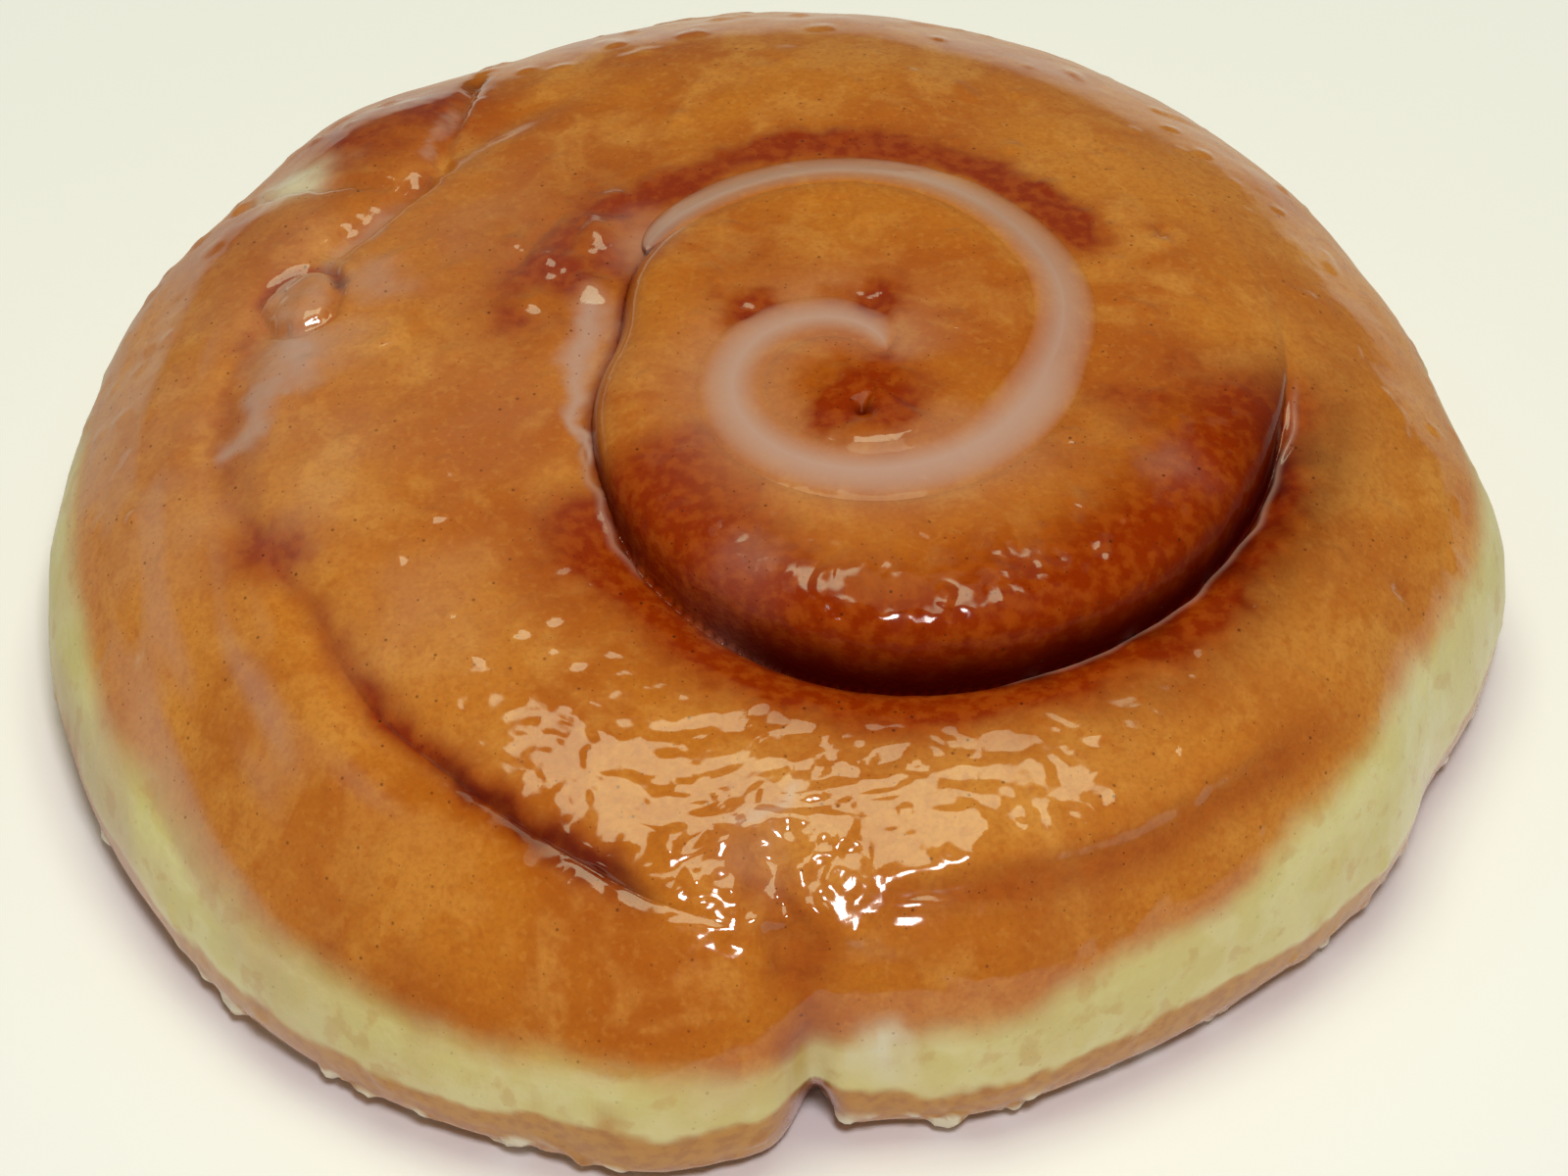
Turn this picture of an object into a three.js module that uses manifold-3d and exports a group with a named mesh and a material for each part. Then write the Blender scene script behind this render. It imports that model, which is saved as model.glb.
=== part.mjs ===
// A glazed cinnamon roll: one baked coil of dough, and the icing pooled in its inner seam.
// Millimetres, +Z up, resting on z = 0, with its plan centred on the origin.
import * as THREE from "three";
import Module from "manifold-3d";

// Plan: everything is measured from the middle of the swirl.
const SWIRL = [5.8, -6.9];
// The plain outline is a circle about its own middle.
const ROUND_RADIUS = 63.5;
const ROUND_MIDDLE = [-1.5, -0.5];
// Where the rim swells or draws in: angle, half width in degrees, amount.
const SWELLINGS = [
  [85, 30, 1.8],
  [155, 34, -2.0],
  [238, 28, 2.2],
  [298, 26, -2.0],
  [27, 22, -1.2],
  [5, 9, 2.0],
  [341, 8, -1.8],
  [82, 18, 1.6],
  [118, 6, -1.2],
  [131, 8, 3.2],
  [151, 10, 1.6],
  [253, 6, 1.3],
  [271, 8, -2.6],
];
const SWELLING_FADE = 7;
// The cleft where the strip's end is laid against the coil: angle and half width in degrees,
// depth, how fast it fades up the shoulder, and the share of its depth at the widest level.
const CLEFT = { angle: 266.5, width: 2, depth: 7, fade: 30, share: 0.35 };

// Side: the widest level, how far the foot is rounded under, and how boxy the shoulder is.
const WIDEST = 9.0;
const FOOT_ROUND = 5.5;
const SHOULDER = 4.3;

// The coil line, by the angle turned from its start at the middle.
const LINE_STEP = 45;
const LINE_RADIUS = [
  2.5, 4.7, 7.2, 8.8, 9.8, 10.3, 10.9, 12.3, 16.0, 24.0, 29.0, 26.2, 22.0,
  23.4, 27.0, 31.2, 36.4, 44.0, 51.5, 50.5, 53.6, 48.4, 51.8, 60.0, 66.0, 72.0,
];
const LINE_DEPTH = [
  0, 1.4, 2.4, 2.5, 2.5, 2.5, 2.5, 2.5, 2.5, 2.5, 2.5, 2.2, 2.0,
  2.6, 4.0, 3.2, 2.4, 0.5, 0.0, 0.8, 0.9, 0.5, 0.4, 0, 0, 0,
];
// How far the dough rounds over on the inner and the outer side of the line.
const INNER_ROUND = [
  3, 4, 4.5, 5, 5, 5, 5, 5, 5.5, 6, 6, 6, 7.5,
  10, 12, 11, 9, 7, 6, 7, 8, 6, 5, 5, 5, 5,
];
const OUTER_ROUND = [
  3, 4, 4.5, 5, 5, 5, 5, 5, 5.5, 6, 6, 5, 5,
  6, 7, 6, 5, 5, 5, 5, 5, 3.5, 2, 2, 2, 2,
];
// How far the inner coil leans out over the line.
const LEAN = [
  0, 0, 0, 0, 0, 0, 0, 0, 0, 0, 0, 0.2, 0.8,
  1.6, 2.4, 2.0, 1.0, 0.2, 0, 0, 0, 0.2, 0.3, 0, 0, 0,
];
const LEAN_SHAPE = 6.4;
// How square the inner side of the line bulges before it turns down.
const BULGE = 2.4;
// Where two turns press together and the line kinks inward.
const KINKS = [
  { turned: 515, width: 17, amount: -2.4 },
  { turned: 920, width: 13, amount: -2.7 },
];
// Where the line starts and ends, and the degrees over which it deepens and shallows there.
const LINE_START = 20;
const LINE_END = 968;
const LINE_DEEPENS = 50;
const LINE_SHALLOWS = 14;
// Where the line has baked away at the back, the degrees over which it goes and comes again,
// and how widely the two strips run together there.
const MERGED = { from: 734, to: 922, before: 22, after: 18, width: 16 };
// The soft valley along the line at the back left, where the line itself has baked away.
const SEAM = { from: 128, to: 214, soft: 16, width: 2.2, depth: 1.0 };
// Height of the dough strip inside the line, every quarter turn.
const CROWN_STEP = 90;
const CROWN = [
  38, 38, 38, 38, 38, 37.8, 37.4, 37.1, 36, 35.2, 33, 30.8, 32, 35.2, 32, 30, 31,
];
// How much further the strip's end falls away outside the line at the front left: the drop, the
// distance it takes, the angles it lies between, and the degrees over which it fades and runs out.
const TAIL = { drop: 5, reach: 14, from: 205, to: 248, soft: 18, runOut: 14 };

// The blister in the seam at the back left, the mound beside it, and the heart of the swirl.
const SPOTS = [
  { x: -41.6, y: 11.6, radius: 3.0, rise: 0.9 },
  { x: -36, y: 36, radius: 6, rise: 1 },
  { x: -44, y: 24, radius: 5, rise: 0.7 },
  { x: 7.5, y: -9.5, radius: 4.5, rise: 0.5 },
];
// The valley that runs up from the cleft to the line's end: its ends, half width and depth.
const VALLEY = { from: [2.2, -64], to: [-1, -52], width: 2.2, depth: 1.3 };

// Icing: where it starts and ends along the line, its level under the crown, and its clearance.
const ICING_FROM = 50;
const ICING_TO = 492;
const ICING_STATIONS = 84;
const ICING_SIDE = 3;
const ICING_DROP = 0.12;
const ICING_SWELL = 0.22;
const CLEARANCE = 0.3;
const CHANNEL_HEADROOM = 2.0;
const ICING_TAPER = 24;
const CHANNEL_EXTRA = 4;

// Mesh density.
const COLUMNS = 110;
const TOP_ROWS = 32;
const SIDE_ROWS = 5;
const TURNS = 3;

const rad = (degrees) => (degrees * Math.PI) / 180;
const clamp = (value, low, high) => Math.min(Math.max(value, low), high);
const turnedFrom = (a, b) => ((((a - b + 180) % 360) + 360) % 360) - 180;
const bell = (distance) => Math.exp(-distance * distance);

// A smooth curve through evenly spaced values.
function spline(values, at) {
  const last = values.length - 1;
  const u = clamp(at, 0, last - 1e-6);
  const i = Math.floor(u);
  const f = u - i;
  const v = (k) => values[clamp(k, 0, last)];
  const [a, b, c, d] = [v(i - 1), v(i), v(i + 1), v(i + 2)];
  return b + 0.5 * f * (c - a + f * (2 * a - 5 * b + 4 * c - d + f * (3 * (b - c) + d - a)));
}

// 0 before start, 1 after end, smooth between.
function ramp(value, start, end) {
  const t = clamp((value - start) / (end - start), 0, 1);
  return t * t * (3 - 2 * t);
}

// 1 between two angles, fading out over the soft degrees beyond each.
function within(angle, start, end, soft) {
  const half = (end - start) / 2;
  return ramp(Math.abs(turnedFrom(angle, (start + end) / 2)), half + soft, half);
}

const lineValue = (values, turned) => spline(values, turned / LINE_STEP);
const crown = (turned) => spline(CROWN, turned / CROWN_STEP);

function lineRadius(turned) {
  let radius = lineValue(LINE_RADIUS, turned);
  for (const kink of KINKS) radius += kink.amount * bell((turned - kink.turned) / kink.width);
  return radius;
}

// 1 where the coil line exists, 0 before its start and after its end.
const lineHere = (turned) =>
  ramp(turned, LINE_START, LINE_START + LINE_DEEPENS) * ramp(turned, LINE_END + LINE_SHALLOWS, LINE_END);

// 0 where the two strips beside the line have baked together, 1 elsewhere.
const lineOpen = (turned) =>
  1 -
  ramp(turned, MERGED.from - MERGED.before, MERGED.from) *
    ramp(turned, MERGED.to + MERGED.after, MERGED.to);

// 0 beside the line at the front left, 1 past the line's end, where the outer strip has run out.
const tailEnded = (angle) => ramp(angle, LINE_END - 724, LINE_END - 720 + TAIL.runOut);

function lineFloor(turned) {
  const outside = Math.min(crown(turned), crown(turned + 360));
  const drop = crown(turned) - outside + Math.max(lineValue(LINE_DEPTH, turned), 0);
  return crown(turned) - drop * lineHere(turned);
}

// Plan radius of the plain outline, from the middle of the swirl.
function body(angle) {
  const offX = ROUND_MIDDLE[0] - SWIRL[0];
  const offY = ROUND_MIDDLE[1] - SWIRL[1];
  const along = offX * Math.cos(rad(angle)) + offY * Math.sin(rad(angle));
  const across = offY * Math.cos(rad(angle)) - offX * Math.sin(rad(angle));
  return along + Math.sqrt(ROUND_RADIUS * ROUND_RADIUS - across * across);
}

const swelling = (angle) =>
  SWELLINGS.reduce((sum, [at, width, amount]) => sum + amount * bell(turnedFrom(angle, at) / width), 0);

const cleft = (angle) => -CLEFT.depth * bell(turnedFrom(angle, CLEFT.angle) / CLEFT.width);

const quarterRound = (u) => Math.sqrt(clamp(u, 0, 1) * (2 - clamp(u, 0, 1)));

// Height of the coiled dough at a plan radius and angle, before the shoulder rounds it down,
// and how far that point leans outward.
function coilTop(radius, angle) {
  let strip = 0;
  while (strip < TURNS && radius >= lineRadius(angle + 360 * strip)) strip += 1;
  const turned = angle + 360 * strip;
  const before = turned - 360;
  let height = crown(turned);
  if (strip === TURNS) height += (crown(before) - height) * tailEnded(angle);
  let z = height;
  let lean = 0;
  if (strip < TURNS) {
    const v = clamp((lineRadius(turned) - radius) / lineValue(INNER_ROUND, turned), 0, 1);
    z -= (height - lineFloor(turned)) * innerWall(v);
    lean = Math.max(lineValue(LEAN, turned), 0) * LEAN_SHAPE * v * (1 - v) * (1 - v);
  }
  if (strip > 0) {
    const u = (radius - lineRadius(before)) / lineValue(OUTER_ROUND, before);
    z -= (height - lineFloor(before)) * (1 - quarterRound(u)) * lineHere(before);
  }
  if (strip < TURNS) {
    z = baked(z, radius - lineRadius(turned), height, crown(turned + 360), lineOpen(turned));
  }
  if (strip > 1) {
    z = baked(z, radius - lineRadius(before), crown(before), height, lineOpen(before));
  }
  if (strip === TURNS) {
    const out = clamp((radius - lineRadius(before)) / TAIL.reach, 0, 1);
    z -= TAIL.drop * (1 - Math.cos((Math.PI / 2) * out)) * within(angle, TAIL.from, TAIL.to, TAIL.soft);
  }
  const fromSeam = (radius - lineRadius(angle + 720)) / SEAM.width;
  z -= SEAM.depth * bell(fromSeam) * within(angle, SEAM.from, SEAM.to, SEAM.soft);
  return { z, lean };
}

// How far the inner side of the line has come down: 1 at the line, 0 where its rounding begins.
const innerWall = (v) => 1 - Math.pow(1 - Math.pow(1 - v, BULGE), 1 / BULGE);

// A height beside the line, drawn to the even slope between two strips where they baked together.
function baked(z, away, innerHeight, outerHeight, open) {
  const joined = innerHeight + (outerHeight - innerHeight) * ramp(away, -MERGED.width, MERGED.width);
  return joined + (z - joined) * open;
}

// The shoulder brings the coil's height down to the widest level at the outline.
const shoulder = (fraction) => Math.sqrt(Math.max(1 - Math.pow(fraction, SHOULDER), 0));

// How far the local shapes raise or lower the top at a plan point.
function localRelief(x, y) {
  let rise = 0;
  for (const spot of SPOTS) {
    rise += spot.rise * bell(Math.hypot(x - spot.x, y - spot.y) / spot.radius);
  }
  const run = [VALLEY.to[0] - VALLEY.from[0], VALLEY.to[1] - VALLEY.from[1]];
  const off = [x - VALLEY.from[0], y - VALLEY.from[1]];
  const share = clamp((off[0] * run[0] + off[1] * run[1]) / (run[0] ** 2 + run[1] ** 2), 0, 1);
  const away = Math.hypot(off[0] - share * run[0], off[1] - share * run[1]);
  return rise - VALLEY.depth * bell(away / VALLEY.width);
}

function topPoint(fraction, angle) {
  const plain = fraction * body(angle);
  const { z, lean } = coilTop(plain, angle);
  const notch = CLEFT.share * cleft(angle) * Math.pow(fraction, CLEFT.fade);
  const r = plain + lean + swelling(angle) * Math.pow(fraction, SWELLING_FADE) + notch;
  const x = SWIRL[0] + r * Math.cos(rad(angle));
  const y = SWIRL[1] + r * Math.sin(rad(angle));
  const share = shoulder(fraction);
  return [x, y, WIDEST + (z + localRelief(x, y) - WIDEST) * share];
}

// Row positions from the middle to the outline: closer together beside each turn of the line.
function rowFractions(angle, count) {
  const samples = 600;
  const size = body(angle);
  const total = [0];
  for (let i = 1; i <= samples; i += 1) {
    let density = 1;
    for (let k = 0; k < TURNS; k += 1) {
      const turned = angle + 360 * k;
      const away = (i / samples) * size - lineRadius(turned);
      const closer = 2.6 * bell(away / 1.6) + 1.4 * bell((away + 3.5) / 5);
      density += closer * lineHere(turned) * lineOpen(turned);
    }
    total.push(total[i - 1] + density);
  }
  const fractions = [];
  let i = 0;
  for (let row = 1; row <= count; row += 1) {
    const wanted = (total[samples] * row) / count;
    while (i < samples - 1 && total[i + 1] < wanted) i += 1;
    fractions.push((i + (wanted - total[i]) / (total[i + 1] - total[i])) / samples);
  }
  fractions[count - 1] = 1;
  return fractions;
}

// One meridian: from beside the middle of the top, over the shoulder, to the edge of the foot.
function meridian(angle) {
  const points = rowFractions(angle, TOP_ROWS).map((fraction) => topPoint(fraction, angle));
  for (let row = 1; row <= SIDE_ROWS; row += 1) {
    const turn = (row / SIDE_ROWS) * (Math.PI / 2);
    const notch = cleft(angle) * (CLEFT.share + (1 - CLEFT.share) * Math.sin(turn));
    const r = body(angle) + swelling(angle) + notch - FOOT_ROUND * (1 - Math.cos(turn));
    const z = WIDEST * (1 - Math.sin(turn));
    points.push([SWIRL[0] + r * Math.cos(rad(angle)), SWIRL[1] + r * Math.sin(rad(angle)), z]);
  }
  return points;
}

function geometryOf(points, faces) {
  const geometry = new THREE.BufferGeometry();
  geometry.setAttribute("position", new THREE.Float32BufferAttribute(points.flat(), 3));
  geometry.setIndex(faces.flat());
  geometry.computeVertexNormals();
  return geometry;
}

// Two triangles between each pair of neighbours in two closed rings, or one fan to a point.
function joinRings(faces, first, second, count) {
  for (let j = 0; j < count; j += 1) {
    const k = (j + 1) % count;
    faces.push([first + j, second + j, second + k], [first + j, second + k, first + k]);
  }
}

function rollGeometry() {
  const meridians = Array.from({ length: COLUMNS }, (_, j) => meridian((360 * j) / COLUMNS));
  const rows = TOP_ROWS + SIDE_ROWS;
  const points = [];
  for (let row = 0; row < rows; row += 1) {
    for (const line of meridians) points.push(line[row]);
  }
  const faces = [];
  for (let row = 1; row < rows; row += 1) joinRings(faces, (row - 1) * COLUMNS, row * COLUMNS, COLUMNS);
  const middle = points.push(topPoint(0, 0)) - 1;
  const under = points.push([SWIRL[0], SWIRL[1], 0]) - 1;
  const foot = (rows - 1) * COLUMNS;
  for (let j = 0; j < COLUMNS; j += 1) {
    const k = (j + 1) % COLUMNS;
    faces.push([middle, j, k], [under, foot + k, foot + j]);
  }
  return geometryOf(points, faces);
}

// The icing's cross section at one place on the line: a closed ring, level on top, with its
// underside just clear of the dough. Grown by a margin it is the channel that the icing lies in.
function icingRing(turned, margin) {
  const angle = turned % 360;
  const line = lineRadius(turned);
  const level = Math.min(crown(turned), crown(turned + 360)) - ICING_DROP;
  const full = level + ICING_DROP - lineFloor(turned);
  const fromEnd = Math.min(turned - ICING_FROM, ICING_TO - turned) / ICING_TAPER;
  const share = (1 - (ICING_DROP + CLEARANCE) / full) * quarterRound(clamp(fromEnd, 0.03, 1));
  const reach = 1 - Math.sqrt(Math.max(1 - share * share, 0));
  const inward = lineValue(INNER_ROUND, turned) * reach + margin;
  const outward = lineValue(OUTER_ROUND, turned) * reach + margin;
  const at = (s, z) => {
    const r = line + (s < 0 ? s * inward : s * outward);
    const x = SWIRL[0] + r * Math.cos(rad(angle));
    const y = SWIRL[1] + r * Math.sin(rad(angle));
    const kept = shoulder(r / body(angle));
    return [x, y, WIDEST + (z + localRelief(x, y) - WIDEST) * kept];
  };
  const headroom = margin > 0 ? CHANNEL_HEADROOM : 0;
  const corner = margin > 0 ? 0 : 1;
  const ring = [];
  for (let i = 0; i <= 2 * ICING_SIDE; i += 1) {
    const s = -1 + i / ICING_SIDE;
    ring.push(at(s, level + headroom + ICING_SWELL * (1 - s * s)));
  }
  for (let i = 2 * ICING_SIDE - corner; i >= corner; i -= 1) {
    const s = -1 + i / ICING_SIDE;
    const hang = full * share * (1 - quarterRound(Math.abs(s) * reach) / share);
    ring.push(at(s, level - hang - margin));
  }
  return ring;
}

function icingGeometry(margin) {
  const places = Array.from(
    { length: ICING_STATIONS + 1 },
    (_, i) => ICING_FROM + ((ICING_TO - ICING_FROM) * i) / ICING_STATIONS,
  );
  if (margin > 0) {
    places.unshift(ICING_FROM - CHANNEL_EXTRA);
    places.push(ICING_TO + CHANNEL_EXTRA);
  }
  const rings = places.map((turned) => icingRing(turned, margin));
  const count = rings[0].length;
  const points = rings.flat();
  const faces = [];
  for (let i = 1; i < rings.length; i += 1) joinRings(faces, i * count, (i - 1) * count, count);
  const last = (rings.length - 1) * count;
  for (let j = 1; j < count - 1; j += 1) {
    faces.push([0, j + 1, j], [last, last + j, last + j + 1]);
  }
  return geometryOf(points, faces);
}

// The first geometry with the second taken out of it.
function cut(geometry, tool) {
  const solid = (g) =>
    new solids.Manifold(
      new solids.Mesh({
        numProp: 3,
        vertProperties: new Float32Array(g.attributes.position.array),
        triVerts: new Uint32Array(g.index.array),
      }),
    );
  const mesh = solid(geometry).subtract(solid(tool)).getMesh();
  const result = new THREE.BufferGeometry();
  result.setAttribute("position", new THREE.BufferAttribute(new Float32Array(mesh.vertProperties), 3));
  result.setIndex(Array.from(mesh.triVerts));
  result.computeVertexNormals();
  return result;
}

function piece(name, geometry, color, roughness) {
  const mesh = new THREE.Mesh(geometry, new THREE.MeshStandardMaterial({ color, roughness }));
  mesh.name = name;
  return mesh;
}

const solids = await Module();
solids.setup();

const cinnamonRoll = new THREE.Group();
cinnamonRoll.add(piece("roll", cut(rollGeometry(), icingGeometry(CLEARANCE)), 0xb4672f, 0.35));
cinnamonRoll.add(piece("icing", icingGeometry(0), 0xd9c0a0, 0.25));

export default cinnamonRoll;
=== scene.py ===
"""Looks of a glazed cinnamon roll: a coil of fried dough and the icing pooled in its inner seam.

Lengths are in millimetres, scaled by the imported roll's own width. The coil is laid out by radius
and angle from the middle of the swirl, anticlockwise from +X, and the small features by x and y in
the CAD frame. -Y is the front, where the strip's end is laid against the coil.
"""

import math

import bpy
import numpy as np
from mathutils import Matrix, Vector


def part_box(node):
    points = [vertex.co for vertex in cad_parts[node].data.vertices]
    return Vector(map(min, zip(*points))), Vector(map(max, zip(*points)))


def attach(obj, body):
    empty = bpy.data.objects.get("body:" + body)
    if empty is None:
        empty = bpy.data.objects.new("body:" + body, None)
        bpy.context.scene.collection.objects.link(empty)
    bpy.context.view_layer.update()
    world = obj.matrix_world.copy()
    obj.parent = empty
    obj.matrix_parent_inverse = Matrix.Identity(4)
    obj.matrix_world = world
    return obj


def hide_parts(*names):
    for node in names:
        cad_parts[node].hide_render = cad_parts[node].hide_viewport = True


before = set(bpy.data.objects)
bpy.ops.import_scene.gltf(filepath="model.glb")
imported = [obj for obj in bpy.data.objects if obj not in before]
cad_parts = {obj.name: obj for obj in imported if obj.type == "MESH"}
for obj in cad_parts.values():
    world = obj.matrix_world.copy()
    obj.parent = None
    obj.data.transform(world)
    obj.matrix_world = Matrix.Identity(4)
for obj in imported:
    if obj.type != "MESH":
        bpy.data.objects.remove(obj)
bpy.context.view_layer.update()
ROLL_LO, ROLL_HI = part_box("roll")

# ---------------------------------------------------------------- sizes (mm, degrees)
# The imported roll's width in these millimetres.
CAD_WIDTH = 127.12
MM = (ROLL_HI.x - ROLL_LO.x) / CAD_WIDTH

# The middle of the swirl.
SWIRL = (5.8, -6.9)
# The plain outline is a circle about its own middle.
ROUND_RADIUS = 63.5
ROUND_MIDDLE = (-1.5, -0.5)
# Where the rim swells or draws in: angle, half width in degrees, amount.
SWELLINGS = (
    (85, 30, 1.8),
    (155, 34, -2.0),
    (238, 28, 2.2),
    (298, 26, -2.0),
    (27, 22, -1.2),
    (5, 9, 2.0),
    (341, 8, -1.8),
    (82, 18, 1.6),
    (118, 6, -1.2),
    (131, 8, 3.2),
    (151, 10, 1.6),
    (253, 6, 1.3),
    (271, 8, -2.6),
)
# The cleft under the strip's end: angle, half width in degrees, and depth at the foot.
CLEFT = (266.5, 2.0, 7.0)
# The share of its depth that is left at the widest level, and how fast it fades above that.
CLEFT_SHARE = 0.35
CLEFT_FADE = 30
# The height where the roll is widest, the roundness of its foot and how square its shoulder is.
WIDEST = 9.0
FOOT_ROUND = 5.5
SHOULDER = 4.3

# The coil line, every LINE_STEP degrees turned from the middle: its radius, its depth, how widely
# the dough rounds down to it on its inner and its outer side, and how far the inner side leans out.
LINE_STEP = 45.0
LINE_RADIUS = (
    2.5, 4.7, 7.2, 8.8, 9.8, 10.3, 10.9, 12.3, 16.0, 24.0, 29.0, 26.2, 22.0,
    23.4, 27.0, 31.2, 36.4, 44.0, 51.5, 50.5, 53.6, 48.4, 51.8, 60.0, 66.0, 72.0,
)
LINE_DEPTH = (
    0, 1.4, 2.4, 2.5, 2.5, 2.5, 2.5, 2.5, 2.5, 2.5, 2.5, 2.2, 2.0,
    2.6, 4.0, 3.2, 2.4, 0.5, 0.0, 0.8, 0.9, 0.5, 0.4, 0, 0, 0,
)
INNER_ROUND = (
    3, 4, 4.5, 5, 5, 5, 5, 5, 5.5, 6, 6, 6, 7.5,
    10, 12, 11, 9, 7, 6, 7, 8, 6, 5, 5, 5, 5,
)
OUTER_ROUND = (
    3, 4, 4.5, 5, 5, 5, 5, 5, 5.5, 6, 6, 5, 5,
    6, 7, 6, 5, 5, 5, 5, 5, 3.5, 2, 2, 2, 2,
)
LEAN = (
    0, 0, 0, 0, 0, 0, 0, 0, 0, 0, 0, 0.2, 0.8,
    1.6, 2.4, 2.0, 1.0, 0.2, 0, 0, 0, 0.2, 0.3, 0, 0, 0,
)
# Brings the peak of the lean's curve to about 1.
LEAN_SHAPE = 6.4
# How square the inner side of the line bulges before it turns down.
BULGE = 2.4
# Where two turns press together and the line kinks inward: angle turned, half width, amount.
KINKS = (
    (515.0, 17.0, -2.4),
    (920.0, 13.0, -2.7),
)
# The height of the strip's top, every CROWN_STEP degrees turned.
CROWN_STEP = 90.0
CROWN = (
    38, 38, 38, 38, 38, 37.8, 37.4, 37.1, 36.0,
    35.2, 33.0, 30.8, 32, 35.2, 32.0, 30.0, 31.0,
)
# How many turns of the strip have the line outside them.
TURNS = 3
# How much further the strip's end falls away outside the line at the front left, over what
# distance, the degrees over which it runs out beyond the line's end, and where this is: from one
# angle to another, and how softly it fades.
TAIL_DROP, TAIL_REACH, TAIL_RUN_OUT = 5.0, 14.0, 14.0
TAIL = (205, 248, 18)
# Where the line starts and ends, and the degrees over which it deepens and runs out.
LINE_START, LINE_END = 20.0, 968.0
FULL_DEPTH_AFTER, RUN_OUT = 50.0, 14.0
# Where the line has baked away at the back, the degrees over which it fades at either end, and
# how widely the two strips run together there.
MERGED_FROM, MERGED_TO = 734.0, 922.0
MERGED_FADE_IN, MERGED_FADE_OUT = 22.0, 18.0
MERGED_WIDTH = 16.0
# The soft valley along the line at the back left: its angles, how it fades, half width and depth.
VALLEY = (128.0, 214.0, 16.0)
VALLEY_WIDTH, VALLEY_DEPTH = 2.2, 1.0

# Stretches by the angle round the swirl: from, to, and how softly each one fades.
ARC = (48, 126, 12)
CRACK = (128, 214, 14)
SEAM = (177, 246, 8)
DARK_SEAM = (230, 247, 7)
SEAM_EDGE = (196, 238, 6)
STREAKS = (158, 212, 22)
PATCH = (150, 190, 8)
VEIL = (30, 330, 20)
SWIRL_FRONT = (225, 315, 15)
RIGHT_FOLD = (284, 312, 16)
FOLD_SHADE = (280, 316, 18)
HEART_STEP = (255, 315, 20)
RIM_DULL = (10, 190, 25)
# Where painted light lies toward the rim at the right and at the left.
RIM_RIGHT = (320, 90, 25)
RIM_LEFT = (165, 225, 15)
# The deep line round the inner coil is the coil line's second turn, from this angle on. Its
# stretches are by the angle turned along it: from, to and softness.
DEEP_LINE_FROM = 60.0
MOUND_STAIN = (568, 722, 16)
# Where painted shade darkens the groove in front of the inner coil, over its cinnamon.
MOUND_SHADE_AND_STAIN = (618, 716, 26)
MOUND_DULL = (565, 710, 25)
LIP_DULL = (578, 705, 20)
MOUND_GRAIN = (575, 705, 20)
RIGHT_THREAD = (660, 724, 8)
LEFT_THREAD = (548, 578, 8)
# How far the glaze's fold and its thin threads stand out.
FOLD_RISE, THREAD_RISE = 0.65, 0.20

# The icing: where it lies along the line, the degrees over which each end tapers, how far its top
# is below the dough's, how far it reaches into the dough, and its half width.
ICING_FROM, ICING_TO = 46.0, 492.0
ICING_TAPER = 30.0
ICING_DROP = 0.12
ICING_ROOT = 0.3
ICING_HALF_WIDTH = 3.7
# The thickness at which the icing hides about two thirds of the dough under it.
ICING_VEIL = 0.7
ICING_STATIONS = 700
ICING_ACROSS = 33

# How high the pale band reaches up the side, every PALE_STEP degrees.
PALE_STEP = 30.0
PALE_TOP = (18.3, 16.8, 16.0, 17.0, 15.5, 15.5, 17.5, 15.0, 13.8, 13.0, 15.5, 19.5, 18.3)

# Where the strip's end is laid against the coil, the rough heart of the swirl, and the middle of
# the small step round that heart.
STRIP_END = (0.6, -54.0)
HEART = (7.5, -10.0)
HEART_MIDDLE = (8.0, -9.0)
# The blister: x, y and its half sizes.
BLISTER = (-41.6, 11.6, 3.2, 3.9)

# Small shapes of the surface: x, y, radius, and height or depth.
BUMPS = (
    (7.5, -9.5, 4.5, 0.5),
    (27.5, -45.0, 3.5, 0.5),
    (-4.5, -50.5, 1.6, 0.4),
    (-9.0, -51.5, 1.2, 0.35),
    (0.5, -54.0, 1.2, 0.35),
    (-16.0, 15.5, 2.0, 1.0),
    (-19.5, 12.0, 1.8, 0.8),
    (-14.6, 20.0, 1.6, 0.6),
    (-16.6, 8.6, 1.7, 0.8),
    (-21.5, 7.0, 1.5, 0.6),
    (-23.0, 15.0, 1.4, 0.4),
    (-36.0, 36.0, 6.0, 1.0),
    (-44.0, 24.0, 5.0, 0.7),
)
PITS = (
    (6.9, -11.3, 1.0, 0.8),
    (7.8, 3.2, 1.6, 0.45),
    (-3.0, 1.9, 1.2, 0.3),
    (33.2, 16.1, 0.7, 0.4),
    (52.8, -17.7, 0.7, 0.4),
)
# Creases: the two ends, half width and depth.
CREASES = (
    (2.2, -64.0, -1.0, -52.0, 2.2, 1.3),
    (-30.5, 28.0, -27.5, 43.5, 0.7, 0.8),
    (-32.0, 26.0, -38.5, 18.5, 1.2, 0.9),
    (-35.0, 26.5, -48.0, 30.5, 0.7, 0.5),
    (-19.5, 11.0, -17.0, 16.5, 0.5, 0.3),
    (-23.0, 12.0, -19.5, 18.5, 0.5, 0.3),
)
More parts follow.
